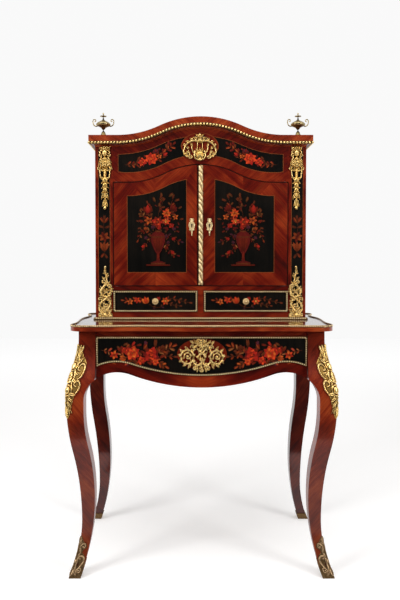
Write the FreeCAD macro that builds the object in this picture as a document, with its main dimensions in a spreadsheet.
"""A bonheur du jour: a lady's writing table on four cabriole legs that carries a small cabinet.

Units are millimetres. X runs to the right, Y to the back and Z up. The origin is on the floor,
in the middle of the plan. The cabinet's face lies in the plane Y = 0.
"""
import FreeCAD, Part
import math
import os
import re
from types import SimpleNamespace

V = FreeCAD.Vector
doc = FreeCAD.newDocument("bonheur_du_jour")

# ---------------------------------------------------------------- driving dimensions
# name, value, what it measures
DIMENSIONS = [
    ("top_width", 807, "table top, over its front corners"),
    ("top_depth", 495, "table top, front to back"),
    ("top_surface", 771, "height of the writing surface"),
    ("top_board", 15, "thickness of the table top"),
    ("front_dip", 11, "how far the front edge draws back between its swells"),
    ("front_waist", 6, "how far the side edge draws in behind the front corner"),
    ("side_swell", 2, "how far the side edge stands out past the front corners, halfway"),
    ("side_waist", 10, "how far the side edge draws in before the rear corner"),
    ("rear_flare", 12, "how far the rear corners stand out past the front ones"),
    ("front_corner", 46, "radius of the front corners"),
    ("rear_corner", 26, "radius of the rear corners"),
    ("rim_seat", 3.5, "width of the rebate that the brass rim sits in"),
    ("rim_proud", 1.5, "how far the rim stands out of the edge"),
    ("rim_drop", 2.6, "how far the rim reaches below the writing surface"),
    ("rim_lip", 4, "how far the rim stands above the writing surface"),
    ("leg_inset", 27.5, "from the edge of the top to the block of a leg"),
    ("leg_block", 51.5, "side of the square block at the top of a leg"),
    ("block_drop", 21, "from the underside of the top to where the outer curve of a leg begins"),
    ("knee_drop", 216, "the same, to the outermost point of the knee"),
    ("knee_swell", 33.3, "how far the knee stands out past the block"),
    ("shin_turn", 0.41, "share of the way from knee to ankle that is round, not hollow"),
    ("knee_hollow", 32.5, "how far the inside of the knee draws out"),
    ("knee_hollow_drop", 211, "from the underside of the top to where the inside of the knee turns straight"),
    ("knee_hollow_length", 33, "from there down to where the inside of the knee leaves the vertical"),
    ("ankle_height", 170, "height of the slimmest point, outside"),
    ("ankle_inner_height", 245, "height of the slimmest point, inside"),
    ("ankle_inset", 6.2, "how far the ankle lies inside the face of the block, outside"),
    ("ankle_inner_inset", 46.5, "the same, for the inner line of the ankle"),
    ("toe_reach", 28, "how far the toe stands out past the block"),
    ("toe_heel", -4.5, "the inner line of the foot, past the face of the block"),
    ("sabot_wall", 2, "thickness of the bronze shoe"),
    ("sabot_height", 28, "height of the front shoe, but for its strap"),
    ("sabot_strap_top", 119, "height of the strap that climbs the corner above a front shoe"),
    ("sabot_back_height", 24, "height of the plain rear shoe"),
    ("mount_plane", 9.5, "how far inside the block's corner the bronzes of a leg begin"),
    ("knee_mount", 7.5, "thickness of the bronze mount on a knee"),
    ("apron_set_back", 2, "from the face of the leg block to the face of an apron"),
    ("apron_board", 18, "thickness of an apron"),
    ("apron_end_drop", 148, "from the underside of the top to where an apron's edge meets the leg"),
    ("apron_peak_drop", 128.5, "the same, to the highest point of the edge"),
    ("apron_belly_drop", 175.5, "the same, to the front apron's lowest point, in the middle"),
    ("apron_peak_in", 64.5, "from the leg block to the highest point"),
    ("apron_turn", 0.165, "share of the way from peak to belly that is hollow, not full"),
    ("back_belly_drop", 135, "the same, on the back apron"),
    ("side_belly_drop", 152, "the same, on a side apron"),
    ("side_peak_in", 58, "from the leg block to the highest point of a side apron"),
    ("rail_height", 14, "height of the rail above the long drawer"),
    ("slide_gap", 1, "clearance round a drawer front"),
    ("frame_width", 6.5, "width of a beaded brass frame"),
    ("frame_relief", 3, "how far a beaded brass frame stands out"),
    ("frame_margin", 3, "from the top of the long drawer's front to its beaded frame"),
    ("frame_lift_belly", 36, "from the apron's bottom edge to the frame, in the middle"),
    ("frame_lift_peak", 31, "the same, at the highest point"),
    ("frame_lift_end", 36, "the same, at the ends"),
    ("medallion_drop", 74.5, "from the underside of the top to the medallion's middle"),
    ("medallion_relief", 6, "thickness of the openwork medallion"),
    ("box_wall", 9, "thickness of the long drawer's sides and back"),
    ("box_side_gap", 6, "from the leg block to the side of the long drawer"),
    ("box_drop", 111, "from the underside of the top to that of the long drawer"),
    ("box_height", 82, "height of the long drawer's sides"),
    ("box_length", 383, "length of the long drawer's sides"),
    ("box_bottom", 6, "thickness of a drawer's bottom"),
    ("bottom_rise", 2, "from the lower edge of a drawer's side to its bottom"),
    ("box_rise_room", 6, "from the top of a small drawer's side to the top of its front"),
    ("kicker_gap", 1.5, "from the long drawer's sides to the strips above them"),
    ("runner_height", 12, "height of a drawer runner"),
    ("runner_guide", 18, "height of the runner's guide above its track"),
    ("runner_track", 12, "width of the track under the drawer's side"),
    ("running_gap", 0.3, "clearance between pieces that slide or seat"),
    ("cabinet_width", 711, "cabinet, over its sides"),
    ("cabinet_depth", 236, "cabinet, front to back"),
    ("cabinet_side", 16, "thickness of the cabinet's sides"),
    ("cabinet_back", 10, "thickness of the cabinet's back"),
    ("face_board", 22, "thickness of the pilasters and the frieze"),
    ("pilaster_width", 59, "width of a pilaster"),
    ("plinth_height", 25, "height of the cabinet's floor board"),
    ("small_drawer_height", 71.5, "height of a small drawer's front"),
    ("dust_board", 14, "thickness of the board over the small drawers"),
    ("divider_width", 20, "thickness of the board between the small drawers"),
    ("inner_board", 12, "thickness of the shelf and of the cabinet's top board"),
    ("shelf_rise", 196.5, "from the foot of the door opening to the shelf"),
    ("shelf_set_back", 40, "from the cabinet's face to the shelf"),
    ("small_front", 16, "thickness of a small drawer's front"),
    ("small_wall", 8, "thickness of a small drawer's sides and back"),
    ("small_length", 196, "length of a small drawer's sides"),
    ("small_side_gap", 1, "from the edge of a small drawer's front to its side"),
    ("knob_radius", 12, "drawer knob"),
    ("knob_reach", 13, "how far a knob stands out"),
    ("shank_radius", 2.5, "shank of a knob"),
    ("shank_end", 2, "how far the shank of a knob reaches past the drawer's front"),
    ("door_thick", 20, "thickness of a door"),
    ("door_set_back", 1, "from the cabinet's face to the face of a door"),
    ("door_gap", 1.5, "clearance round a door"),
    ("door_height", 353, "the door opening, from its foot to its shoulders"),
    ("door_rise", 59.5, "how far the door opening climbs in the middle"),
    ("door_level", 52.5, "from the side of the door opening to where its arch begins"),
    ("panel_deep", 3, "thickness of a marquetry panel"),
    ("panel_stile", 48.5, "from the side of the door opening to a door's panel"),
    ("panel_inner", 48, "from the middle to the inner edge of a door's panel"),
    ("panel_rise", 47.5, "from the foot of the door opening to a door's panel"),
    ("panel_drop", 46, "from the top of the door to the top of its panel"),
    ("astragal_width", 19, "width of the moulding where the doors meet"),
    ("astragal_relief", 8, "how far that moulding stands out"),
    ("astragal_trim", 2.5, "from the ends of the right door to the ends of its moulding"),
    ("pivot_in", 11, "from the edge of a door to its pivot"),
    ("pivot_deep", 5, "from the face of a door to its pivot"),
    ("pivot_radius", 2.5, "radius of a pivot pin"),
    ("pivot_clearance", 0.06, "radial clearance of a pivot pin"),
    ("pivot_length", 7, "length of a pivot pin"),
    ("leaf_plate", 2, "thickness of a pivot hinge's plate"),
    ("leaf_length", 24, "length of a pivot hinge's plate"),
    ("leaf_end", 7, "from a pivot to the outer end of its plate"),
    ("leaf_width", 9, "width of a pivot hinge's plate"),
    ("leaf_back", 0.8, "how far the middle of a plate lies behind its pivot"),
    ("escutcheon_in", 30, "from the middle to a keyhole"),
    ("keyhole_rise", 207.5, "from the foot of the door opening to a keyhole"),
    ("escutcheon_plate", 2.5, "thickness of a keyhole plate"),
    ("lock_width", 52, "width of the lock case"),
    ("lock_height", 44, "height of the lock case"),
    ("lock_depth", 11, "thickness of the lock case"),
    ("lock_wall", 2, "wall of the lock case, before and behind its bolt"),
    ("bolt_throw", 6, "travel of the lock bolt"),
    ("bolt_height", 12, "height of the lock bolt"),
    ("bolt_rise", 2, "from the keyhole to the underside of the bolt"),
    ("strike_depth", 3, "how much deeper the bolt's mortise is than its travel"),
    ("cornice_height", 36.5, "height of the cornice at its ends"),
    ("cornice_fascia", 19.5, "height of the cornice's flat face"),
    ("cornice_reach", 19.5, "how far the cornice stands out"),
    ("cornice_rise", 61.5, "how far the cornice climbs in the middle"),
    ("cornice_level", 77.5, "from the side of the cabinet to where the cornice's arch begins"),
    ("frieze_height", 153, "from the shoulders of the door opening to the top of the cornice"),
    ("bead_height", 10, "height of the gilt moulding under the cornice's face"),
    ("bead_reach", 4, "how far that moulding stands out of its seat"),
    ("foot_mould_height", 8, "height of the gilt moulding round the cabinet's foot"),
    ("foot_mould_reach", 7, "how far that moulding stands out"),
    ("urn_height", 80, "height of an urn above the cornice"),
    ("urn_radius", 24.3, "radius of an urn's bowl"),
    ("urn_handle", 3, "thickness of an urn's handle"),
    ("urn_in", 27, "from the side of the cabinet to the axis of an urn"),
    ("spigot_radius", 3, "radius of the spigot under an urn"),
    ("spigot_length", 16, "length of the spigot under an urn"),
    ("spigot_room", 1, "depth of a spigot's hole past its end"),
    ("mount_relief", 8, "thickness of a bronze mount on the cabinet's face"),
    ("bust_relief", 15, "thickness of the head of the upper mounts"),
    ("cartouche_relief", 12, "thickness of the shield of the frieze's mount"),
    ("chute_in", 3.5, "from the middle of a pilaster to the axis of its mounts"),
    ("chute_gap", 2, "from the cornice to the top of the mount under it"),
    ("cartouche_gap", 10, "from the crown of the door opening to the frieze's mount"),
]

sheet = doc.addObject("Spreadsheet::Sheet", "Sizes")
for row, (alias, value, meaning) in enumerate(DIMENSIONS, start=1):
    sheet.set(f"A{row}", alias)
    sheet.set(f"B{row}", str(value))
    sheet.set(f"C{row}", meaning)
    sheet.setAlias(f"B{row}", alias)
doc.recompute()
S = SimpleNamespace(**{alias: float(sheet.get(alias)) for alias, _, _ in DIMENSIONS})
ALIASES = re.compile(r"\b(" + "|".join(alias for alias, _, _ in DIMENSIONS) + r")\b")

# places that follow from the sizes: name, expression
PLACES = {
    "top_under": "top_surface - top_board",
    "block_end": "top_under - block_drop",
    "knee_height": "top_under - knee_drop",
    "knee_hollow_top": "top_under - knee_hollow_drop",
    "knee_hollow_end": "knee_hollow_top - knee_hollow_length",
    "apron_end": "top_under - apron_end_drop",
    "apron_peak": "top_under - apron_peak_drop",
    "apron_belly": "top_under - apron_belly_drop",
    "back_belly": "top_under - back_belly_drop",
    "side_belly": "top_under - side_belly_drop",
    "medallion_middle": "top_under - medallion_drop",
    "box_floor_height": "top_under - box_drop",
    "block_x": "top_width / 2 - leg_inset",
    "block_y": "top_depth / 2 - leg_inset",
    "block_in_x": "block_x - leg_block",
    "block_in_y": "block_y - leg_block",
    "opening_half": "cabinet_width / 2 - pilaster_width",
    "drawer_base": "top_surface + plinth_height",
    "small_top": "drawer_base + small_drawer_height + 2 * slide_gap",
    "door_sill": "small_top + dust_board",
    "shelf_height": "door_sill + shelf_rise",
    "door_shoulder": "door_sill + door_height",
    "door_crown": "door_shoulder + door_rise",
    "door_arch_half": "opening_half - door_level",
    "panel_outer": "opening_half - panel_stile",
    "panel_bottom": "door_sill + panel_rise",
    "escutcheon_height": "door_sill + keyhole_rise",
    "cornice_arch_half": "cabinet_width / 2 - cornice_level",
    "cornice_top": "door_shoulder + frieze_height",
}
PLACE_NAMES = re.compile(r"\b(" + "|".join(PLACES) + r")\b")


def cells(text):
    """An expression in sizes and places, as FreeCAD wants it."""
    text = str(text)
    while PLACE_NAMES.search(text):
        text = PLACE_NAMES.sub(lambda found: f"({PLACES[found.group()]})", text)
    return ALIASES.sub(r"Sizes.\1", text)


for place, expression in PLACES.items():
    setattr(S, place, float(sheet.evalExpression(cells(expression))))


# ---------------------------------------------------------------- sizes that follow from them
TOP_HALF = S.top_width / 2
TOP_Y = S.top_depth / 2
CABINET_HALF = S.cabinet_width / 2
MOUNT_AXIS = CABINET_HALF - 0.5 * S.pilaster_width
FRAME_TOP = S.top_under - S.rail_height - S.slide_gap
PAST_LEG = 4 * S.leg_block
# where the side edge of the top is drawn in and swells, as shares of half its depth from the middle
FRONT_WAIST_AT, SIDE_SWELL_AT, REAR_WAIST_AT = -0.6, 0.05, 0.56
# the turn of a leg's inner line, as a share of the way from ankle to knee
CALF_TURN = 0.6


# ---------------------------------------------------------------- drawing helpers
class Outline:
    """A closed profile, drawn point by point in the plane of a sketch."""

    def __init__(self, x, y):
        self.first = V(x, y, 0)
        self.here = self.first
        self.edges = []

    def line(self, x, y):
        there = V(x, y, 0)
        if there.distanceToPoint(self.here) > 1e-6:
            self.edges.append(Part.LineSegment(self.here, there))
            self.here = there
        return self

    def arc(self, middle, x, y):
        there = V(x, y, 0)
        self.edges.append(Part.Arc(self.here, V(middle[0], middle[1], 0), there))
        self.here = there
        return self

    def bend(self, x, y, along):
        """One arc that leaves the present point along an axis, x or y."""
        return self.arc(lean(self.here, V(x, y, 0), along), x, y)

    def bend_into(self, x, y, along):
        """One arc that arrives at the next point along an axis, x or y."""
        return self.arc(lean(V(x, y, 0), self.here, along), x, y)

    def swell(self, x, y, bulge):
        """An arc that stands off its chord by bulge, on the left of the way it runs."""
        if bulge == 0:
            return self.line(x, y)
        chord = V(x, y, 0) - self.here
        middle = self.here + chord * 0.5 + V(-chord.y, chord.x, 0) * (bulge / chord.Length)
        return self.arc((middle.x, middle.y), x, y)

    def reverse(self, x, y, along, share=0.5):
        """An ogee of two arcs that leaves and arrives along the same axis."""
        there = V(x, y, 0)
        turn = self.here + (there - self.here) * share
        self.bend(turn.x, turn.y, along)
        return self.bend_into(x, y, along)

    def close(self):
        return self.line(self.first.x, self.first.y).edges


def lean(start, end, along):
    """The middle point of the arc that leaves start along an axis and reaches end."""
    dx, dy = end.x - start.x, end.y - start.y
    ahead, aside = (dx, dy) if along == "x" else (dy, dx)
    radius = (ahead * ahead + aside * aside) / (2 * abs(aside))
    half = math.atan2(abs(aside), abs(ahead))
    forward = math.copysign(radius * math.sin(half), ahead)
    sideways = math.copysign(radius * (1 - math.cos(half)), aside)
    if along == "x":
        return (start.x + forward, start.y + sideways)
    return (start.x + sideways, start.y + forward)


def rectangle(x0, x1, y0, y1):
    return Outline(x0, y0).line(x1, y0).line(x1, y1).line(x0, y1).close()


def circle(x, y, radius):
    return [Part.Circle(V(x, y, 0), V(0, 0, 1), radius)]


def symmetric(x, y, half):
    """An outline alike on both sides of x, given by its right half from the top down.

    Each step is the distance from the middle, the height above y and the swell of the arc to it.
    """
    outline = Outline(x + half[0][0], y + half[0][1])
    for across, up, bulge in half[1:]:
        outline.swell(x + across, y + up, bulge)
    for (_, _, bulge), (across, up, _) in zip(half[:0:-1], half[-2::-1]):
        outline.swell(x - across, y + up, bulge)
    return outline.edges


def lozenges(x, y, openings):
    """Pointed openings between scrolls: distance from x, height above y, width and height of each.

    Those off the middle come twice, one on each side.
    """
    edges = []
    for across, up, wide, high in openings:
        for middle in sorted({x - across, x + across}):
            lozenge = Outline(middle + 0.5 * wide, y + up).line(middle, y + up + 0.5 * high)
            edges += lozenge.line(middle - 0.5 * wide, y + up).line(middle, y + up - 0.5 * high).close()
    return edges


def origin_plane(body, role):
    return next(item for item in body.Origin.OriginFeatures if item.Role == role)


def drawing(body, name, role, geometry, offset):
    """A sketch on one of the body's own planes, moved along that plane's normal."""
    sketch = body.newObject("Sketcher::SketchObject", name)
    sketch.AttachmentSupport = (origin_plane(body, role), [""])
    sketch.MapMode = "FlatFace"
    sketch.setExpression("AttachmentOffset.Base.z", cells(offset))
    for shape in geometry:
        sketch.addGeometry(shape, False)
    return sketch


def pad(body, name, role, geometry, offset, length):
    """A sketch padded along its plane's normal: +Z, -Y or +X."""
    feature = body.newObject("PartDesign::Pad", name)
    feature.Profile = drawing(body, name + "_sketch", role, geometry, offset)
    feature.setExpression("Length", cells(length))
    return feature


def pocket(body, name, role, geometry, offset, length):
    """A pocket that starts at the offset plane and cuts along that plane's normal."""
    feature = body.newObject("PartDesign::Pocket", name)
    feature.Profile = drawing(body, name + "_sketch", role, geometry, offset)
    feature.setExpression("Length", cells(length))
    feature.Reversed = True
    return feature


def board(label, role, geometry, offset, length):
    """A body that is one padded outline."""
    body = doc.addObject("PartDesign::Body", label)
    pad(body, label + "_pad", role, geometry, offset, length)
    return body


def box(label, x0, x1, y0, y1, z0, z1):
    """A plain board between six expressions."""
    block = doc.addObject("Part::Box", label)
    for axis, low, high, side in (
        ("x", x0, x1, "Length"),
        ("y", y0, y1, "Width"),
        ("z", z0, z1, "Height"),
    ):
        block.setExpression("Placement.Base." + axis, cells(low))
        block.setExpression(side, cells(f"({high}) - ({low})"))
    return block


def cylinder(label, x, y, z, radius, height):
    """An upright cylinder that stands on the point x, y, z."""
    rod = doc.addObject("Part::Cylinder", label)
    for axis, place in (("x", x), ("y", y), ("z", z)):
        rod.setExpression("Placement.Base." + axis, cells(place))
    rod.setExpression("Radius", cells(radius))
    rod.setExpression("Height", cells(height))
    return rod


def joined(label, kind, *pieces):
    """Part::MultiFuse, Part::MultiCommon or Part::Compound of the pieces."""
    result = doc.addObject(kind, label)
    if kind == "Part::Compound":
        result.Links = list(pieces)
    else:
        result.Shapes = list(pieces)
    return result


def cut(label, base, tool):
    result = doc.addObject("Part::Cut", label)
    result.Base = base
    result.Tool = tool
    return result


def mirror(label, source, normal):
    """The same piece on the other side of the origin."""
    result = doc.addObject("Part::Mirroring", label)
    result.Source = source
    result.Normal = V(*normal)
    return result


def left_and_right(label, piece):
    """One sub-part made of a piece on the right and its mirror image."""
    return joined(label, "Part::Compound", piece, mirror(label + "_left", piece, (1, 0, 0)))


def flat(label, geometry, height):
    """A free sketch that lies level at a height."""
    sketch = doc.addObject("Sketcher::SketchObject", label)
    for shape in geometry:
        sketch.addGeometry(shape, False)
    sketch.setExpression("Placement.Base.z", cells(height))
    return sketch


def grown(label, source, distance, corners="Intersection"):
    """The same outline, larger or smaller all round."""
    ring = doc.addObject("Part::Offset2D", label)
    ring.Source = source
    ring.setExpression("Value", cells(distance))
    ring.Join = corners
    return ring


def extruded(label, source, direction, length):
    solid = doc.addObject("Part::Extrusion", label)
    solid.Base = source
    solid.DirMode = "Custom"
    solid.Dir = V(*direction)
    solid.setExpression("LengthFwd", cells(length))
    solid.Solid = True
    return solid


NODES = {}


def keep(node, piece):
    """Names a finished sub-part."""
    piece.Label = node
    NODES[node] = piece
    return piece


# ---------------------------------------------------------------- table top and its brass rim
def half_top():
    """The right half of the plan, from the middle of the front to the back."""
    corner = S.front_corner
    rear = S.rear_corner
    wide = TOP_HALF
    flare = TOP_HALF + S.rear_flare
    return [
        ("start", 0, -TOP_Y),
        ("x", 0.5 * (wide - corner), -TOP_Y + S.front_dip),
        ("x", wide - corner, -TOP_Y),
        ("turn", wide, -TOP_Y + corner),
        ("y", wide - S.front_waist, FRONT_WAIST_AT * TOP_Y),
        ("y", wide + S.side_swell, SIDE_SWELL_AT * TOP_Y),
        ("y", wide - S.side_waist, REAR_WAIST_AT * TOP_Y),
        ("y", flare, TOP_Y - rear),
        ("turn", flare - rear, TOP_Y),
    ]


def top_plan():
    """Swells and dips that run into each other as ogees, closed along a straight back."""
    steps = half_top()
    plan = Outline(0, -TOP_Y)
    for way, x, y in steps[1:]:
        if way == "turn":
            plan.bend(x, y, "x" if y < 0 else "y")
        else:
            plan.reverse(x, y, way)
    plan.line(-steps[-1][1], TOP_Y)
    for (way, _, _), (_, x, y) in zip(reversed(steps[1:]), list(reversed(steps))[1:]):
        if way == "turn":
            plan.bend(-x, y, "x" if y > 0 else "y")
        else:
            plan.reverse(-x, y, way)
    return plan.edges


def table_top():
    plan = flat("top_plan", top_plan(), "top_under")
    seat = flat("top_seat_plan", top_plan(), "top_surface - rim_drop")
    inner = grown("rim_inner_line", seat, "-rim_seat")
    outer = grown("rim_outer_line", seat, "rim_proud")
    lower = extruded("top_lower", plan, (0, 0, 1), "top_board - rim_drop")
    upper = extruded("top_upper", inner, (0, 0, 1), "rim_drop")
    keep("table_top", joined("table_top", "Part::MultiFuse", lower, upper))
    ring = extruded("rim_block", outer, (0, 0, 1), "rim_drop + rim_lip")
    hole = extruded("rim_hole", inner, (0, 0, 1), "rim_drop + rim_lip")
    keep("table_rim", cut("table_rim", ring, hole))


# ---------------------------------------------------------------- legs, shoes and knee mounts
def leg_profile(block_face):
    """One side of a cabriole leg, as it is sawn: outwards is +X, the block's face at block_face."""
    foot = S.sabot_wall
    profile = Outline(block_face, S.top_under)
    profile.line(block_face, S.block_end)
    profile.reverse(block_face + S.knee_swell, S.knee_height, "y")
    profile.reverse(block_face - S.ankle_inset, S.ankle_height, "y", S.shin_turn)
    profile.bend(block_face + S.toe_reach, foot, "y")
    profile.line(block_face + S.toe_heel, foot)
    profile.bend_into(block_face - S.ankle_inner_inset, S.ankle_inner_height, "y")
    knee_in = block_face - S.leg_block + S.knee_hollow
    profile.reverse(knee_in, S.knee_hollow_end, "y", CALF_TURN)
    profile.line(knee_in, S.knee_hollow_top)
    profile.bend(block_face - S.leg_block, S.apron_end, "y")
    profile.line(block_face - S.leg_block, S.top_under)
    return profile.close()


def two_way_sawn(name, front_sketch, side_sketch):
    """What is left of a square timber that is sawn to one profile from two sides."""
    seen_from_front = extruded(name + "_from_front", front_sketch, (0, -1, 0), str(PAST_LEG))
    seen_from_side = extruded(name + "_from_side", side_sketch, (1, 0, 0), str(PAST_LEG))
    seen_from_front.Placement.Base = V(0, S.leg_block - S.block_in_y, 0)
    seen_from_side.Placement.Base = V(S.block_in_x - S.leg_block, 0, 0)
    return joined(name, "Part::MultiCommon", seen_from_front, seen_from_side)


def leg_sketch(name, turn, block_face):
    """The leg's profile, stood upright by a rotation."""
    return stood_up(name, leg_profile(block_face), turn)


UPRIGHT_FRONT = FreeCAD.Rotation(V(1, 0, 0), 90)
UPRIGHT_SIDE = FreeCAD.Rotation(V(0, 0, 1), -90) * UPRIGHT_FRONT
UPRIGHT_CORNER = FreeCAD.Rotation(V(0, 0, 1), 45) * UPRIGHT_FRONT


def stood_up(name, geometry, turn):
    """A free sketch that stands upright."""
    sketch = doc.addObject("Sketcher::SketchObject", name)
    for shape in geometry:
        sketch.addGeometry(shape, False)
    sketch.Placement.Rotation = turn
    return sketch


def knee_leaf():
    """The outline of a knee mount, seen along the diagonal: two C-scrolls under a crest of leaves."""
    crest = [(0, 176, 0), (13, 152, 1.5), (17, 138, 0.5)]
    upper_scroll = [(30.5, 109, 3), (24.7, 74, 3)]
    lower_scroll = [(28.7, 66, 1), (28.7, 55, 1), (22, 31, 1.5)]
    tail = [(14, 2, -1), (7, -36, -0.5), (0, -48, 1)]
    return symmetric(0, S.knee_height, crest + upper_scroll + lower_scroll + tail)


def shoe_strap():
    """The strap above a front shoe, seen along the diagonal: a ring, then a C-scroll."""
    top = S.sabot_strap_top
    ring = [(0, top, 0), (6, top - 13, 1), (16, top - 25, -1), (16, top - 36, 2.5)]
    scroll = [(9.5, top - 49, -1.5), (18.5, top - 68, 2), (20, top - 95, 2), (0, top - 95, 0)]
    return symmetric(0, 0, ring + scroll) + lozenges(0, top, [(7.5, -81, 5.5, 19)])


def corner_prism(name, outline):
    """An outline seen along a leg's diagonal, run outwards past the corner."""
    sketch = stood_up(name + "_line", outline, UPRIGHT_CORNER)
    sketch.Placement.Base = V(S.block_x - S.mount_plane, S.mount_plane - S.block_y, 0)
    return extruded(name, sketch, (1, -1, 0), str(PAST_LEG))


def legs():
    front = leg_sketch("leg_front_view", UPRIGHT_FRONT, S.block_x)
    side = leg_sketch("leg_side_view", UPRIGHT_SIDE, S.block_y)
    right = keep("front_right_leg", two_way_sawn("front_right_leg", front, side))
    left = keep("front_left_leg", mirror("front_left_leg", right, (1, 0, 0)))
    keep("back_right_leg", mirror("back_right_leg", right, (0, 1, 0)))
    keep("back_left_leg", mirror("back_left_leg", left, (0, 1, 0)))
    shoes(front, side, right)
    knee_mounts(front, side, right)


def shell_of_leg(name, front, side, thickness):
    """The leg grown all round, from which its bronzes are taken."""
    return two_way_sawn(
        name,
        grown(name + "_front_view", front, thickness, "Arc"),
        grown(name + "_side_view", side, thickness, "Arc"),
    )


def low_part(name, shell, height):
    """The foot of the shell, up to a height."""
    space = box(name + "_space", "0", "top_width", "-top_depth", "0", "0", height)
    return joined(name, "Part::MultiCommon", shell, space)


def shoes(front, side, leg):
    """Bronze shoes: in front with a strap up the corner, behind plain."""
    shell = shell_of_leg("shoe_shell", front, side, "sabot_wall")
    strap = joined("shoe_strap", "Part::MultiCommon", shell, corner_prism("strap_prism", shoe_strap()))
    foot = low_part("front_shoe_low", shell, "sabot_height")
    shod = joined("front_shoe_block", "Part::MultiFuse", foot, strap)
    front_shoe = cut("front_right_sabot", shod, leg)
    keep("front_sabots", left_and_right("front_sabots", front_shoe))

    plain_shoe = cut("plain_shoe", low_part("back_shoe_low", shell, "sabot_back_height"), leg)
    back_shoe = mirror("back_right_sabot", plain_shoe, (0, 1, 0))
    keep("back_sabots", left_and_right("back_sabots", back_shoe))


def knee_mounts(front, side, leg):
    """Leaves that clasp the two outer faces of a front leg; its inner faces stay bare."""
    shell = shell_of_leg("knee_shell", front, side, "knee_mount")
    leaf_block = joined("knee_leaf", "Part::MultiCommon", shell, corner_prism("leaf_prism", knee_leaf()))
    inner_x, inner_y = S.block_in_x + S.knee_hollow, S.block_in_y + S.knee_hollow
    beside = box("space_beside_knee", "0", inner_x, "-top_depth", "0", "0", "apron_end")
    behind = box("space_behind_knee", "0", "top_width", -inner_y, "0", "0", "apron_end")
    bare = joined("leg_and_bare_faces", "Part::MultiFuse", leg, beside, behind)
    knee = keep("right_knee_mount", cut("right_knee_mount", leaf_block, bare))
    keep("left_knee_mount", mirror("left_knee_mount", knee, (1, 0, 0)))


# ---------------------------------------------------------------- aprons and the long drawer
def apron_edge(outline, half, lift_belly=0.0, lift_peak=0.0, lift_end=0.0):
    """Adds the shaped bottom edge of the front, from the right end to the left one."""
    peak_x = S.block_in_x - S.apron_peak_in
    peak = S.apron_peak + lift_peak
    belly = S.apron_belly + lift_belly
    outline.bend_into(peak_x, peak, "x")
    outline.reverse(0, belly, "x", S.apron_turn)
    outline.reverse(-peak_x, peak, "x", 1 - S.apron_turn)
    outline.bend(-half, S.apron_end + lift_end, "x")
    return outline


def aprons():
    top = S.top_under
    side_peak_y = S.block_in_y - S.side_peak_in
    edge = Outline(-S.block_in_y, top).line(S.block_in_y, top).line(S.block_in_y, S.apron_end)
    edge.bend_into(side_peak_y, S.apron_peak, "x")
    edge.reverse(0, S.side_belly, "x")
    edge.reverse(-side_peak_y, S.apron_peak, "x")
    edge.bend(-S.block_in_y, S.apron_end, "x")
    right = board(
        "right_apron",
        "YZ_Plane",
        edge.close(),
        "block_x - apron_set_back - apron_board",
        "apron_board",
    )
    keep("right_apron", right)
    keep("left_apron", mirror("left_apron", right, (1, 0, 0)))
    edge = Outline(-S.block_in_x, top).line(S.block_in_x, top).line(S.block_in_x, S.apron_end)
    apron_edge(edge, S.block_in_x, lift_belly=S.back_belly - S.apron_belly)
    back = board(
        "back_apron",
        "XZ_Plane",
        edge.close(),
        "-(block_y - apron_set_back)",
        "apron_board",
    )
    keep("back_apron", back)
    face = "-(block_y - apron_set_back)"
    rail = box(
        "front_rail",
        "-block_in_x",
        "block_in_x",
        face,
        face + " + apron_board",
        "top_under - rail_height",
        "top_under",
    )
    keep("front_rail", rail)


def runners():
    """Two L-shaped strips: the drawer's side slides on the track and along the guide."""
    inner = S.block_in_x - S.box_side_gap - S.runner_track
    guide = S.block_in_x - S.box_side_gap + S.running_gap
    outer = S.block_x - S.apron_set_back - S.apron_board
    track = S.box_floor_height - S.running_gap
    section = Outline(inner, track - S.runner_height).line(outer, track - S.runner_height)
    section.line(outer, track + S.runner_guide).line(guide, track + S.runner_guide)
    section.line(guide, track).line(inner, track)
    length = "2 * block_in_y"
    strip = board("right_runner", "XZ_Plane", section.close(), f"-({length}) / 2", length)
    keep("drawer_runners", left_and_right("drawer_runners", strip))


def long_drawer():
    half = S.block_in_x - S.slide_gap
    face = "(block_y - apron_set_back)"
    front = Outline(-half, FRAME_TOP).line(half, FRAME_TOP).line(half, S.apron_end)
    apron_edge(front, half)
    keep(
        "apron_drawer_front",
        board("apron_drawer_front", "XZ_Plane", front.close(), face + " - apron_board", "apron_board"),
    )
    top = FRAME_TOP - S.frame_margin
    outer = Outline(-half, top).line(half, top).line(half, S.apron_end + S.frame_lift_end)
    apron_edge(outer, half, S.frame_lift_belly, S.frame_lift_peak, S.frame_lift_end)
    frame_line = stood_up("apron_frame_line", outer.close(), UPRIGHT_FRONT)
    frame_line.setExpression("Placement.Base.y", cells("-" + face))
    outer_block = extruded("apron_frame_block", frame_line, (0, -1, 0), "frame_relief")
    inner_line = grown("apron_frame_inner", frame_line, "-frame_width")
    inner_block = extruded("apron_frame_hole", inner_line, (0, -1, 0), "frame_relief")
    keep("apron_drawer_frame", cut("apron_drawer_frame", outer_block, inner_block))
    medallion(face)
    long_box(face)


def long_box(face):
    """The four boards behind the long drawer's front."""
    wide = "(block_in_x - box_side_gap)"
    front_y = f"(-{face} + apron_board)"
    back_y = f"({front_y} + box_length)"
    low, high = "box_floor_height", "box_floor_height + box_height"
    right = box("long_side_right", f"{wide} - box_wall", wide, front_y, back_y, low, high)
    left = box("long_side_left", f"-{wide}", f"-{wide} + box_wall", front_y, back_y, low, high)
    back = box(
        "long_back", f"-{wide} + box_wall", f"{wide} - box_wall", f"{back_y} - box_wall", back_y, low, high
    )
    floor = box(
        "long_bottom",
        f"-{wide} + box_wall",
        f"{wide} - box_wall",
        front_y,
        f"{back_y} - box_wall",
        "box_floor_height + bottom_rise",
        "box_floor_height + bottom_rise + box_bottom",
    )
    keep("apron_drawer_box", joined("apron_drawer_box", "Part::Compound", right, left, back, floor))


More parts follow.
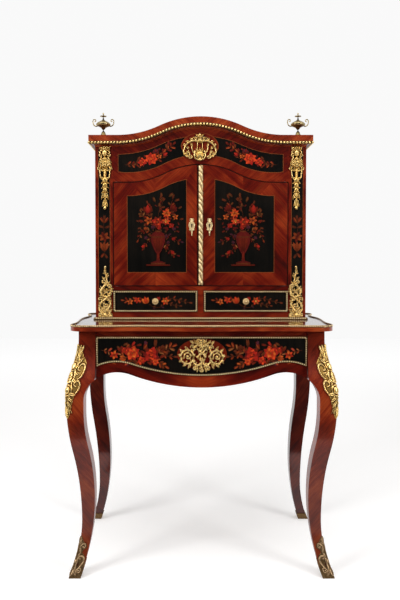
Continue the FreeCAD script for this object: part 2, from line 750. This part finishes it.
def kickers():
    """Strips under the top that keep the long drawer level when it is pulled out."""
    outer = "block_in_x - box_side_gap"
    inside = "(block_y - apron_set_back - apron_board)"
    strip = box(
        "right_kicker",
        outer + " - runner_track",
        outer,
        "-" + inside,
        inside,
        "box_floor_height + box_height + kicker_gap",
        "top_under",
    )
    keep("drawer_kickers", left_and_right("drawer_kickers", strip))


def medallion(face):
    """Pierced scrollwork: two wreaths under a crest, over a pendant of leaves."""
    crest = [(0, 49, 0), (15, 45, 2), (27, 46, 2), (40, 40, 3), (47, 24, 1)]
    wreath_side = [(64, 18, 3), (73.5, 0, 4), (64, -18, 4), (45, -27, 1)]
    pendant = [(36, -41, 3), (20, -44, 2), (0, -50, 2)]
    outline = symmetric(0, S.medallion_middle, crest + wreath_side + pendant)
    plate = board("apron_drawer_mount", "XZ_Plane", outline, face, "medallion_relief")
    wreath = [(45, 9, 17, 9), (45, -14, 17, 9), (36, -3, 9, 14), (54, -3, 9, 14)]
    between = [(14, 22, 10, 18), (13, -12, 9, 16), (27, 34, 10, 8), (28, -33, 9, 9), (0, -33, 9, 10)]
    openings = lozenges(0, S.medallion_middle, wreath + between)
    pocket(plate, "medallion_openings", "XZ_Plane", openings, face, "medallion_relief")
    keep("apron_drawer_mount", plate)


# ---------------------------------------------------------------- cabinet carcass
def notched_plan():
    """A board between the sides whose front edge stands between the pilasters."""
    inside = CABINET_HALF - S.cabinet_side
    back = S.cabinet_depth - S.cabinet_back
    plan = Outline(-S.opening_half, 0).line(S.opening_half, 0).line(S.opening_half, S.face_board)
    plan.line(inside, S.face_board).line(inside, back).line(-inside, back)
    return plan.line(-inside, S.face_board).line(-S.opening_half, S.face_board).close()


def carcass():
    half = "cabinet_width / 2"
    inside = "(cabinet_width / 2 - cabinet_side)"
    top_z = "cornice_top"
    behind = "cabinet_depth - cabinet_back"
    right = box("cabinet_right_side", inside, half, "face_board", "cabinet_depth", "top_surface", top_z)
    keep("cabinet_right_side", right)
    keep("cabinet_left_side", mirror("cabinet_left_side", right, (1, 0, 0)))
    back = box("cabinet_back_board", f"-{inside}", inside, behind, "cabinet_depth", "top_surface", top_z)
    keep("cabinet_back", back)
    keep("cabinet_floor", board("cabinet_floor", "XY_Plane", notched_plan(), "top_surface", "plinth_height"))
    sill = board("dust_board_body", "XY_Plane", notched_plan(), "small_top", "dust_board")
    for side in (1, -1):
        leaf_seat(sill, side, S.door_sill, -1)
    keep("drawer_dust_board", sill)
    keep(
        "drawer_divider",
        box(
            "drawer_divider",
            "-divider_width / 2",
            "divider_width / 2",
            "0",
            behind,
            "drawer_base",
            "small_top",
        ),
    )
    keep(
        "cabinet_shelf",
        box(
            "cabinet_shelf",
            f"-{inside}",
            inside,
            "shelf_set_back",
            behind,
            "shelf_height",
            "shelf_height + inner_board",
        ),
    )
    keep(
        "cabinet_top_board",
        box(
            "cabinet_top_board",
            f"-{inside}",
            inside,
            "face_board",
            behind,
            "cornice_top - inner_board",
            "cornice_top",
        ),
    )


def pilasters():
    blank = box(
        "pilaster_blank",
        "opening_half",
        "cabinet_width / 2",
        "0",
        "face_board",
        "top_surface",
        "cornice_top",
    )
    bore = cylinder(
        "spigot_bore",
        "cabinet_width / 2 - urn_in",
        "face_board / 2",
        "cornice_top - spigot_length - spigot_room",
        "spigot_radius + running_gap / 2",
        "spigot_length + 2 * spigot_room",
    )
    right = keep("right_pilaster", cut("right_pilaster", blank, bore))
    keep("left_pilaster", mirror("left_pilaster", right, (1, 0, 0)))


def arch(outline, from_x, to_x, half, crown, shoulder):
    """Adds an arch with ogee haunches from one end to the other."""
    way = math.copysign(1, to_x - from_x)
    outline.line(-way * half, shoulder)
    outline.reverse(0, crown, "x")
    outline.reverse(way * half, shoulder, "x")
    return outline.line(to_x, shoulder)


def frieze():
    crown = S.cornice_top + S.cornice_rise
    edge = Outline(-S.opening_half, S.cornice_top)
    arch(edge, -S.opening_half, S.opening_half, S.cornice_arch_half, crown, S.cornice_top)
    edge.line(S.opening_half, S.door_shoulder)
    arch(edge, S.opening_half, -S.opening_half, S.door_arch_half, S.door_crown, S.door_shoulder)
    body = board("frieze_board", "XZ_Plane", edge.close(), "-face_board", "face_board")
    for side in (1, -1):
        leaf_seat(body, side, S.door_shoulder, 1)
    keep("frieze_board", body)


# ---------------------------------------------------------------- pivot hinges
PIVOT_X = S.opening_half - S.door_gap - S.pivot_in
PIVOT_Y = S.door_set_back + S.pivot_deep


def leaf_plan(side):
    """A pivot hinge's plate seen from above."""
    outer = PIVOT_X + S.leaf_end
    low, high = sorted((side * outer, side * (outer - S.leaf_length)))
    middle = PIVOT_Y + S.leaf_back
    return rectangle(low, high, middle - 0.5 * S.leaf_width, middle + 0.5 * S.leaf_width)


def leaf_seat(body, side, height, way):
    """A shallow mortise for a hinge plate, cut upwards (way 1) or downwards (way -1) from a height."""
    name = f"{body.Name}_seat_{'right' if side > 0 else 'left'}_{int(height)}"
    base = height if way > 0 else height - S.leaf_plate
    return pocket(body, name, "XY_Plane", leaf_plan(side), str(base), "leaf_plate")


def leaf(name, side, base, bored):
    """A hinge plate; a bored one takes the pin."""
    body = board(name, "XY_Plane", leaf_plan(side), str(base), "leaf_plate")
    if bored:
        hole = circle(side * PIVOT_X, PIVOT_Y, S.pivot_radius + S.pivot_clearance)
        pocket(body, name + "_bore", "XY_Plane", hole, str(base), "leaf_plate")
    return body


def pinned_leaf(name, side, base, way):
    """A fixed plate with its pin, which points up (way 1) or down (way -1)."""
    plate = leaf(name + "_plate", side, base, False)
    start = base + (S.leaf_plate if way > 0 else -S.pivot_length)
    x, y = str(side * PIVOT_X), str(PIVOT_Y)
    pin = cylinder(name + "_pin", x, y, str(start), "pivot_radius", "pivot_length")
    return joined(name, "Part::MultiFuse", plate, pin)


def fixed_pivots():
    pieces = []
    for side, word in ((1, "right"), (-1, "left")):
        pieces.append(pinned_leaf(f"{word}_lower_pivot", side, S.door_sill - S.leaf_plate, 1))
        pieces.append(pinned_leaf(f"{word}_upper_pivot", side, S.door_shoulder, -1))
    keep("door_pivot_plates", joined("door_pivot_plates", "Part::Compound", *pieces))


# ---------------------------------------------------------------- doors
def door_edge_top(outline, x0, x1, lift):
    """The arched top edge of one door, from x0 to x1, moved down from the opening by lift."""
    shoulder = S.door_shoulder - lift
    crown = S.door_crown - lift
    way = math.copysign(1, x1 - x0)
    rise = crown - shoulder
    radius = (S.door_arch_half ** 2 + rise ** 2) / (4 * rise)
    turn = 0.5 * S.door_arch_half

    def height(x):
        across = abs(x)
        if across <= turn:
            return crown - radius + math.sqrt(radius ** 2 - across ** 2)
        if across < S.door_arch_half:
            return shoulder + radius - math.sqrt(radius ** 2 - (S.door_arch_half - across) ** 2)
        return shoulder

    turns = sorted((-S.door_arch_half, -turn, turn, S.door_arch_half), key=lambda stop: way * stop)
    stops = [x0] + [stop for stop in turns if way * x0 < way * stop < way * x1] + [x1]
    outline.line(x0, height(x0))
    for start, end in zip(stops, stops[1:]):
        middle = 0.5 * (start + end)
        if abs(middle) > S.door_arch_half:
            outline.line(end, height(end))
        else:
            outline.arc((middle, height(middle)), end, height(end))
    return outline


def door(side, word, inner_x):
    """One door: a board with an arched top, a bed for its panel and seats for its hinges."""
    outer_x = side * (S.opening_half - S.door_gap)
    sill = S.door_sill + S.door_gap
    left, right = sorted((inner_x, outer_x))
    edge = Outline(right, sill).line(left, sill)
    door_edge_top(edge, left, right, S.door_gap)
    body = board(f"{word}_door", "XZ_Plane", edge.close(), "-(door_set_back + door_thick)", "door_thick")
    pocket(
        body, f"{word}_panel_bed", "XZ_Plane", panel_edge(side), "-(door_set_back + panel_deep)", "panel_deep"
    )
    leaf_seat(body, side, sill, 1)
    leaf_seat(body, side, S.door_shoulder - S.door_gap, -1)
    hole = circle(side * PIVOT_X, PIVOT_Y, S.pivot_radius + S.running_gap)
    pocket(body, f"{word}_lower_hole", "XY_Plane", hole, str(sill), "pivot_length")
    top = S.door_shoulder - S.door_gap - S.pivot_length
    pocket(body, f"{word}_upper_hole", "XY_Plane", hole, str(top), "pivot_length")
    keyhole(body, side, word, "-(door_set_back + door_thick)", "door_thick")
    lock_seat(body, side, inner_x)
    keep(f"{word}_door", body)
    panel = board(
        f"{word}_door_panel", "XZ_Plane", panel_edge(side), "-(door_set_back + panel_deep)", "panel_deep"
    )
    keep(f"{word}_door_panel", panel)
    lower = leaf(f"{word}_lower_leaf", side, sill, True)
    upper = leaf(f"{word}_upper_leaf", side, S.door_shoulder - S.door_gap - S.leaf_plate, True)
    keep(f"{word}_door_hinge_leaves", joined(f"{word}_door_hinge_leaves", "Part::Compound", lower, upper))
    escutcheon(side, word)


def lock_seat(body, side, inner_x):
    """In the right door the bed of the lock case, in the left one the mortise for its bolt."""
    gap, past = S.running_gap, S.slide_gap
    if side > 0:
        seat = rectangle(inner_x - past, inner_x + S.lock_width + gap, LOCK_LOW - gap, LOCK_HIGH + gap)
    else:
        deep = S.bolt_throw + S.strike_depth
        seat = rectangle(inner_x - deep, inner_x + past, BOLT_LOW - past, BOLT_HIGH + past)
    pocket(body, f"{body.Name}_lock_seat", "XZ_Plane", seat, "-(door_set_back + door_thick)", "lock_depth")


def panel_edge(side):
    outer, inner = side * S.panel_outer, side * S.panel_inner
    left, right = sorted((outer, inner))
    edge = Outline(right, S.panel_bottom).line(left, S.panel_bottom)
    return door_edge_top(edge, left, right, S.door_gap + S.panel_drop).close()


LOCK_LOW = S.escutcheon_height - 0.5 * S.lock_height
LOCK_HIGH = S.escutcheon_height + 0.5 * S.lock_height
BOLT_LOW = S.escutcheon_height + S.bolt_rise
BOLT_HIGH = BOLT_LOW + S.bolt_height
SEAM_X = -0.5 * S.astragal_width


def keyhole_outline(x, z):
    """A round eye with a slot below it."""
    slot, shoulder, eye_top, foot = 1.1, z - 1.8, z + 3, z - 9
    shape = Outline(x + slot, foot).line(x + slot, shoulder)
    shape.arc((x, eye_top), x - slot, shoulder)
    return shape.line(x - slot, foot).close()


def keyhole(body, side, word, offset, length):
    hole = keyhole_outline(side * S.escutcheon_in, S.escutcheon_height)
    pocket(body, f"{body.Name}_keyhole", "XZ_Plane", hole, offset, length)


def escutcheon(side, word):
    """A keyhole plate: a scooped crest, a round body, two lobes and a drop."""
    x, z = side * S.escutcheon_in, S.escutcheon_height
    crest = [(0, 20, 0), (7, 22, -1), (4.5, 13, 0)]
    body_lobes = [(12.5, -2, 2.5), (7, -13, 2), (9.5, -17, 0), (5.5, -20, 0)]
    drop = [(2.5, -22, 0), (2.5, -33, 0), (0, -36, 0)]
    plate = board(
        f"{word}_escutcheon",
        "XZ_Plane",
        symmetric(x, z, crest + body_lobes + drop),
        "-door_set_back",
        "escutcheon_plate",
    )
    keyhole(plate, side, word, "-door_set_back", "escutcheon_plate")
    keep(f"{word}_escutcheon", plate)


def lock():
    """A lock case let into the back of the right door, and its bolt."""
    gap = S.running_gap
    start = SEAM_X + 0.5 * S.door_gap
    channel_end = start + 0.6 * S.lock_width
    back = "-(door_set_back + door_thick)"
    outline = rectangle(start + gap, start + S.lock_width, LOCK_LOW, LOCK_HIGH)
    case = board("door_lock_case", "XZ_Plane", outline, back, "lock_depth - running_gap")
    channel = rectangle(start - S.slide_gap, channel_end, BOLT_LOW - gap, BOLT_HIGH + gap)
    pocket(case, "bolt_channel", "XZ_Plane", channel, back + " + lock_wall", "lock_depth - 2 * lock_wall")
    eye = keyhole_outline(S.escutcheon_in, S.escutcheon_height)
    pocket(case, "case_keyhole", "XZ_Plane", eye, back, "lock_depth")
    keep("door_lock_case", case)
    bolt = board(
        "lock_bolt",
        "XZ_Plane",
        rectangle(start + gap, channel_end - S.slide_gap, BOLT_LOW, BOLT_HIGH),
        back + " + lock_wall + running_gap",
        "lock_depth - 2 * lock_wall - 2 * running_gap",
    )
    keep("lock_bolt", bolt)


def astragal():
    """The half-round moulding on the right door that covers the joint."""
    low = S.door_sill + S.door_gap + S.astragal_trim
    high = S.door_crown - S.door_gap - S.astragal_trim
    half = 0.5 * S.astragal_width
    start = SEAM_X + 0.5 * S.door_gap
    section = Outline(start, S.door_set_back).line(half, S.door_set_back)
    section.arc((0.5 * (start + half), S.door_set_back - S.astragal_relief), start, S.door_set_back)
    keep("door_astragal", board("door_astragal", "XY_Plane", section.edges, str(low), str(high - low)))


# ---------------------------------------------------------------- small drawers
def small_drawer(side, word):
    """A front with its beaded frame and knob, and the box behind it."""
    near = 0.5 * S.divider_width + S.slide_gap
    far = S.opening_half - S.slide_gap
    left, right = sorted((side * near, side * far))
    low = S.drawer_base + S.slide_gap
    high = low + S.small_drawer_height
    middle_x, middle_z = 0.5 * (left + right), 0.5 * (low + high)
    outline = rectangle(left, right, low, high)
    front = board(f"{word}_drawer_front", "XZ_Plane", outline, "-small_front", "small_front")
    shank_hole = circle(middle_x, middle_z, S.shank_radius + 0.5 * S.running_gap)
    pocket(front, f"{word}_shank_hole", "XZ_Plane", shank_hole, "-small_front", "small_front")
    keep(f"{word}_drawer_front", front)
    frame = board(f"{word}_drawer_frame", "XZ_Plane", outline, "0", "frame_relief")
    wide = S.frame_width
    window = rectangle(left + wide, right - wide, low + wide, high - wide)
    pocket(frame, f"{word}_frame_window", "XZ_Plane", window, "0", "frame_relief")
    keep(f"{word}_drawer_frame", frame)
    knob(word, middle_x, middle_z)
    x0, x1 = left + S.small_side_gap, right - S.small_side_gap
    z0, z1 = S.drawer_base + S.running_gap, high - S.box_rise_room
    y0, wall = "small_front", S.small_wall
    y1 = "small_front + small_length"
    floor = z0 + S.bottom_rise
    sides = [
        box(f"{word}_side_a", x0, x0 + wall, y0, y1, z0, z1),
        box(f"{word}_side_b", x1 - wall, x1, y0, y1, z0, z1),
        box(f"{word}_back", x0 + wall, x1 - wall, y1 + " - small_wall", y1, z0, z1),
        box(f"{word}_bottom", x0 + wall, x1 - wall, y0, y1 + " - small_wall", floor, f"{floor} + box_bottom"),
    ]
    keep(f"{word}_drawer_box", joined(f"{word}_drawer_box", "Part::Compound", *sides))


def knob(word, x, z):
    """A turned rosette on a shank that goes through the drawer's front."""
    body = doc.addObject("PartDesign::Body", f"{word}_drawer_knob")
    reach, wide, thin = S.knob_reach, S.knob_radius, S.shank_radius
    # each step is how far it stands out of the drawer's front, and its radius
    steps = [(-S.small_front - S.shank_end, thin), (0, 0.4 * wide), (0.4 * reach, wide)]
    steps += [(0.8 * reach, 0.5 * wide), (reach, 0)]
    # the section is drawn with the knob's axis along Y, then moved to its place
    half = Outline(0, -steps[0][0])
    for (start, radius), (end, _) in zip(steps, steps[1:]):
        half.line(radius, -start).line(radius, -end)
    section = drawing(body, f"{word}_knob_section", "XY_Plane", half.line(0, -reach).close(), "0")
    turned_knob = body.newObject("PartDesign::Revolution", f"{word}_knob_turned")
    turned_knob.Profile = section
    turned_knob.ReferenceAxis = (section, ["V_Axis"])
    turned_knob.Angle = 360
    body.Placement.Base = V(x, 0, z)
    keep(f"{word}_drawer_knob", body)


# ---------------------------------------------------------------- cornice and its mouldings
def cornice_section():
    """The wooden cornice in section: out is +X, the wall at 0, the top at 0."""
    reach, fascia, tall = S.cornice_reach, S.cornice_fascia, S.cornice_height
    seat = S.bead_reach
    bead = fascia + S.bead_height
    shape = Outline(0, 0).line(reach, 0).line(reach, -fascia)
    shape.line(reach - seat, -fascia).line(reach - seat - 3, -bead)
    shape.bend_into(0.6, -tall + 1.5, "y").line(0, -tall)
    return shape.close()


def bead_section():
    """The gilt moulding: a quarter round that fills the cornice's seat."""
    reach, fascia = S.cornice_reach, S.cornice_fascia
    seat = S.bead_reach
    bead = fascia + S.bead_height
    shape = Outline(reach - seat, -fascia).line(reach - 0.4, -fascia)
    shape.arc((reach - 0.6, -fascia - 0.6 * S.bead_height), reach - seat - 2.2, -bead)
    return shape.line(reach - seat - 3, -bead).close()


def swept(name, section):
    """A moulding that runs along the arched front, between mitres at the corners."""
    body = doc.addObject("PartDesign::Body", name)
    end = CABINET_HALF + S.cornice_reach
    crown = S.cornice_top + S.cornice_rise
    path_edges = Outline(-end, S.cornice_top)
    arch(path_edges, -end, end, S.cornice_arch_half, crown, S.cornice_top)
    path = drawing(body, name + "_path", "XZ_Plane", path_edges.edges, "0")
    profile = body.newObject("Sketcher::SketchObject", name + "_section")
    profile.AttachmentSupport = (origin_plane(body, "YZ_Plane"), [""])
    profile.MapMode = "FlatFace"
    profile.AttachmentOffset = FreeCAD.Placement(
        V(0, S.cornice_top, -end), FreeCAD.Rotation(V(0, 1, 0), 180)
    )
    for shape in section:
        profile.addGeometry(shape, False)
    pipe = body.newObject("PartDesign::AdditivePipe", name + "_pipe")
    pipe.Profile = profile
    pipe.Spine = (path, [])
    return body


def mitre_tool(name):
    """A wedge on the right corner that lies behind the plane of the mitre."""
    out, inward = 1.1 * S.cornice_reach, S.pilaster_width
    far = S.cabinet_depth + 2 * out
    edge = CABINET_HALF
    plan = Outline(edge - inward, inward).line(edge + 2 * out, -2 * out)
    plan.line(edge + 3 * out, far).line(edge - inward, far)
    low = S.cornice_top - 2 * S.cornice_height
    return extruded(name, flat(name + "_plan", plan.close(), str(low)), (0, 0, 1), "3 * cornice_height")


def return_moulding(name, section):
    """The straight run along the right side, from the mitre to the back."""
    body = doc.addObject("PartDesign::Body", name + "_run")
    profile = body.newObject("Sketcher::SketchObject", name + "_run_section")
    profile.AttachmentSupport = (origin_plane(body, "XZ_Plane"), [""])
    profile.MapMode = "FlatFace"
    back_end = V(CABINET_HALF, S.cornice_top, -S.cabinet_depth)
    profile.AttachmentOffset = FreeCAD.Placement(back_end, FreeCAD.Rotation())
    for shape in section:
        profile.addGeometry(shape, False)
    run = body.newObject("PartDesign::Pad", name + "_run_pad")
    run.Profile = profile
    run.setExpression("Length", cells("cabinet_depth + 2 * cornice_reach"))
    wedge = mitre_tool(name + "_keep")
    return joined(name, "Part::MultiCommon", body, wedge)


def cornice():
    right_wedge = mitre_tool("mitre_right")
    wedges = joined("mitres", "Part::Compound", right_wedge, mirror("mitre_left", right_wedge, (1, 0, 0)))
    keep("cornice_front", cut("cornice_front", swept("cornice_arch", cornice_section()), wedges))
    right = return_moulding("right_cornice_return", cornice_section())
    keep("cornice_returns", left_and_right("cornice_returns", right))
    front_bead = cut("bead_front", swept("bead_arch", bead_section()), wedges)
    side_bead = return_moulding("right_bead", bead_section())
    other_bead = mirror("left_bead", side_bead, (1, 0, 0))
    keep("cornice_bead", joined("cornice_bead", "Part::Compound", front_bead, side_bead, other_bead))


def foot_moulding():
    """A gilt quarter-round along the front and sides of the cabinet's foot."""
    reach, tall = S.foot_mould_reach, S.foot_mould_height
    half, deep = CABINET_HALF, S.cabinet_depth
    base = "top_surface"
    plan = Outline(-half - reach, -reach).line(half + reach, -reach).line(half + reach, deep)
    plan.line(half, deep).line(half, 0).line(-half, 0).line(-half, deep).line(-half - reach, deep)
    outer = plan.close()
    body = board("foot_moulding", "XY_Plane", outer, base, "foot_mould_height")
    doc.recompute()
    blank = body.Tip
    crest = [
        f"Edge{number}"
        for number, edge in enumerate(blank.Shape.Edges, start=1)
        if edge.BoundBox.ZMin > S.top_surface + tall - 0.01 and outside(edge, half + 0.5 * reach, 0.5 * reach)
    ]
    round_edge = body.newObject("PartDesign::Fillet", "foot_moulding_round")
    round_edge.Base = (blank, crest)
    round_edge.Radius = 0.8 * reach
    keep("foot_moulding", body)


def outside(edge, half, front):
    box_ = edge.BoundBox
    return box_.YMax < -front + 0.01 or box_.XMin > half or box_.XMax < -half


# ---------------------------------------------------------------- bronze mounts and urns
def turned(name, steps):
    """A turning about the vertical axis. Each step is a drop below its top and a radius."""
    body = doc.addObject("PartDesign::Body", name)
    half = Outline(0, -steps[0][0])
    for drop, radius in steps:
        half.line(radius, -drop)
    half.line(0, -steps[-1][0])
    section = drawing(body, name + "_section", "XZ_Plane", half.close(), "0")
    spun = body.newObject("PartDesign::Revolution", name + "_spun")
    spun.Profile = section
    spun.ReferenceAxis = (section, ["V_Axis"])
    spun.Angle = 360
    return body


def upper_chute():
    """A tapering mount: a bust in a leafy collar, a pierced band, and a string of bosses and husks."""
    x, top = MOUNT_AXIS - S.chute_in, S.cornice_top - S.cornice_height - S.chute_gap
    bust = [(0, 0, 0), (12, -6, 3), (19.5, -22, 2), (15, -35, 1), (11, -42, 0)]
    collar = [(23.5, -55, 2), (21, -72, 1), (14, -80, 0), (17, -93, 1), (11, -106, 1)]
    tail = [(8, -120, -1), (7, -152, 0), (9, -164, 1), (4.5, -172, -1), (5, -190, 1), (0, -211, 1)]
    body = board("chute_plate", "XZ_Plane", symmetric(x, top, bust + collar + tail), "0", "mount_relief / 2")
    pocket(body, "chute_openings", "XZ_Plane", lozenges(x, top, [(9, -92, 7, 15)]), "0", "mount_relief / 2")
    bosses = [(0, -100, 0), (3, -105, 0), (3, -121, 5), (3, -134, 3.5), (3, -147, 3)]
    husks = [(3, -153, 0), (8.5, -165, -1), (3, -167, 0), (3, -175, 2), (4, -190, 0), (0, -207, 0)]
    pad(body, "chute_string", "XZ_Plane", symmetric(x, top, bosses + husks), "0", "mount_relief")
    knop = [(0, -38, 0), (7, -44, 2), (0, -52, 2)]
    pad(body, "chute_knop", "XZ_Plane", symmetric(x, top, knop), "0", "mount_relief")
    head = [(0, -10, 0), (10, -22, 3), (0, -36, 3)]
    pad(body, "chute_head", "XZ_Plane", symmetric(x, top, head), "0", "bust_relief")
    keep("upper_chutes", left_and_right("upper_chutes", body))


def lower_chute():
    """A pierced mount of scrolls that climbs from a palmette at the cabinet's foot to a bud."""
    x, low = MOUNT_AXIS - S.chute_in, S.top_surface + S.foot_mould_height
    outer_side = [(7, 160, 1.5), (14, 145, 2), (9, 130, 0), (14, 116, 2), (12, 92, 1), (8, 74, -1)]
    outer_side += [(22, 52, 1), (20, 38, 0), (25, 26, 1.5), (23, 12, 0), (23, 0, 0)]
    inner_side = [(-23, 0, 0), (-23, 14, 0), (-25, 30, 1.5), (-15, 44, -1), (-20, 62, 1), (-15, 80, 0)]
    inner_side += [(-22, 98, 2), (-8, 116, -1), (-13, 134, 1), (-11, 146, 1.5), (-5, 162, 0), (0, 175, 1)]
    shape = Outline(x, low + 175)
    for across, up, bulge in outer_side + inner_side:
        shape.swell(x + across, low + up, bulge)
    body = board("lower_chute_plate", "XZ_Plane", shape.edges, "0", "mount_relief")
    openings = [(5, 121, 6, 9), (-3, 98, 5, 18), (-11, 84, 6, 9)]
    openings += [(-12, 58, 7, 8), (-2, 42, 8, 8), (13, 36, 7, 8)]
    edges = []
    for across, up, wide, high in openings:
        edges += lozenges(x + across, low, [(0, up, wide, high)])
    pocket(body, "lower_chute_openings", "XZ_Plane", edges, "0", "mount_relief")
    keep("lower_chutes", left_and_right("lower_chutes", body))


def frieze_mount():
    """A cartouche over the doors: a crest, two acanthus arms and a shield."""
    low = S.door_crown + S.cartouche_gap
    crest = [(0, 96, 0), (7, 87, 2), (20, 81, 2), (31, 71, 1)]
    arm = [(44, 60, 1), (55, 45, 3), (57, 29, 2), (50, 16, 2), (40, 25, -2), (32, 8, 1)]
    shield = [(24, 14, -1), (18.5, 9, 0), (15, 2, 1), (0, 0, 2)]
    body = board("frieze_mount", "XZ_Plane", symmetric(0, low, crest + arm + shield), "0", "mount_relief / 2")
    openings = lozenges(0, low, [(0, 43, 11, 22), (17, 42, 13, 19), (40, 40, 10, 16)])
    pocket(body, "cartouche_openings", "XZ_Plane", openings, "0", "mount_relief / 2")
    raised = [(0, 30, 0), (17, 26, 2), (15, 6, 1), (0, 2, 2)]
    pad(body, "cartouche_shield", "XZ_Plane", symmetric(0, low, raised), "0", "cartouche_relief")
    keep("frieze_mount", body)


def urn():
    """A covered urn with two scrolled handles, on a spigot that drops into the pilaster."""
    tall, wide = S.urn_height, S.urn_radius
    finial = [(0, 1), (6, 2.5), (6, 1.3), (10, 1.3), (10, 11), (14, 11), (14, 1.3), (22, 1.3)]
    lid = [(29, 8), (38, wide)]
    bowl = [(39.5, wide), (48, 15), (57, 1.5)]
    foot = [(60, 1.5), (77, 7), (77, 8.2), (tall, 8.2)]
    spigot = [(tall, S.spigot_radius), (tall + S.spigot_length, S.spigot_radius)]
    body = turned("urn_turned", finial + lid + bowl + foot + spigot)
    body.Placement.Base = V(0, 0, tall)
    handle = urn_handle()
    whole = joined("right_urn", "Part::MultiFuse", body, handle, mirror("urn_left_handle", handle, (1, 0, 0)))
    whole.Placement.Base = V(CABINET_HALF - S.urn_in, 0.5 * S.face_board, S.cornice_top)
    keep("right_urn", whole)
    keep("left_urn", mirror("left_urn", whole, (1, 0, 0)))


def urn_handle():
    """A flat S-scroll that leaves the bowl's flank and curls in over the lid."""
    reach = S.urn_radius + 12.4
    curl, thick = 52.6, 2.2
    middle = reach - 6.3
    shape = Outline(18, 33.4).swell(reach, curl, -4.5)
    shape.arc((middle, curl + 6.3), middle - 6.3, curl).line(middle - 6.3 + thick, curl)
    shape.arc((middle, curl + 6.3 - thick), reach - thick, curl).swell(19, 37.2, 4)
    return board("urn_right_handle", "XZ_Plane", shape.close(), "-urn_handle / 2", "urn_handle")


# ---------------------------------------------------------------- build, check and write
table_top()
legs()
aprons()
runners()
kickers()
long_drawer()
carcass()
pilasters()
frieze()
fixed_pivots()
door(-1, "left", SEAM_X - 0.5 * S.door_gap)
door(1, "right", SEAM_X + 0.5 * S.door_gap)
lock()
astragal()
small_drawer(-1, "left")
small_drawer(1, "right")
cornice()
foot_moulding()
upper_chute()
lower_chute()
frieze_mount()
urn()

doc.recompute()
for item in doc.Objects:
    if "Invalid" in item.State or "Error" in item.State:
        raise RuntimeError(f"{item.Label} did not build: {item.State}")
for node, piece in NODES.items():
    shape = piece.Shape
    if shape.isNull() or not shape.isValid() or not shape.Solids:
        raise RuntimeError(f"{node} has no valid solid")

os.makedirs("parts", exist_ok=True)
for node, piece in NODES.items():
    piece.Shape.exportStep(os.path.join("parts", node + ".step"))
print(len(NODES), "nodes,", sum(len(piece.Shape.Solids) for piece in NODES.values()), "solids")
